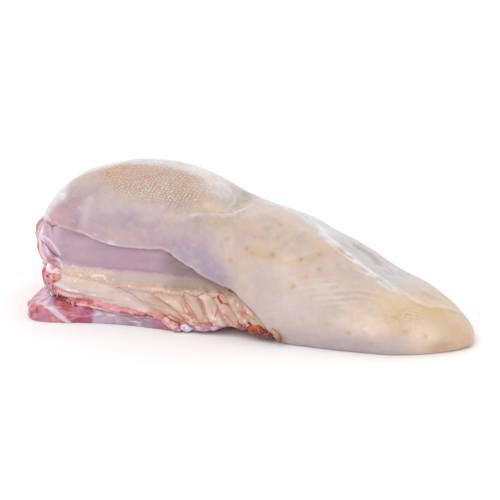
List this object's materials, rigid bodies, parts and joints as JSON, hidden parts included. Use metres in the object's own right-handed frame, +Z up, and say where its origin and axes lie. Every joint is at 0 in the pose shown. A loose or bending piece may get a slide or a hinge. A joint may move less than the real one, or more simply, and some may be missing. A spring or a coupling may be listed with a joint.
{
  "type": "whole beef tongue",
  "caption": "Whole trimmed beef tongue lying on its cut base: thick back, rolled blade and blunt tip, with fat and meat trimmings under the root.",
  "frame": {"origin": "centre of the footprint, on the surface that the tongue rests on", "axes": "+X along the tongue towards its tip, +Z up out of its back, so that -Y is the side with the lowered edge of the blade"},
  "size_m": [0.3042, 0.1116, 0.101],
  "materials": {
    "mucosa": "pale wet skin of the tongue, cream to mauve, finely pitted",
    "fat": "cream fat with a wet sheen",
    "lean_meat": "raw pink to red muscle with a wet sheen",
    "fascia": "lavender-white membrane with a wet sheen"
  },
  "bodies": {
    "root": {"tongue": "mucosa"}
  },
  "joints": []
}
